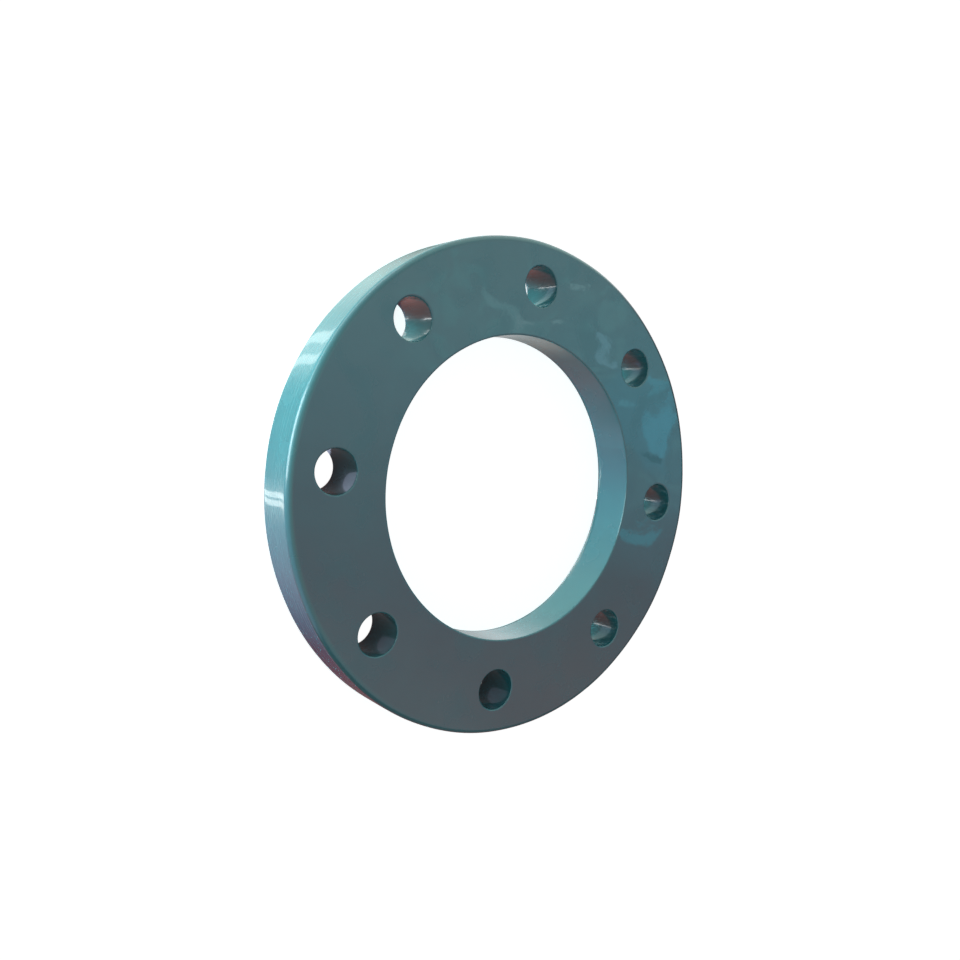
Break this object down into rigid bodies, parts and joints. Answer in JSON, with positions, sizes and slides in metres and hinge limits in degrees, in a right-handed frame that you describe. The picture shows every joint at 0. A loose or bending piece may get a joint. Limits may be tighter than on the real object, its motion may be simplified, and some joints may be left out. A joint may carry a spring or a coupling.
{
  "type": "lap joint flange",
  "caption": "Flat round moulded plastic ring that backs a pipe's stub end: plain central bore, rounded rim and a circle of through bolt holes.",
  "frame": {"origin": "centre of the lap face, on the ring's axis", "axes": "+Z along the ring's axis, from the lap face to the bolting face; X and Y each lie midway between two bolt holes"},
  "size_m": [0.22, 0.22, 0.024],
  "materials": {
    "ring_plastic": "smooth moulded, glossy blue-green"
  },
  "bodies": {
    "root": {"flange_ring": "ring_plastic"}
  },
  "joints": []
}
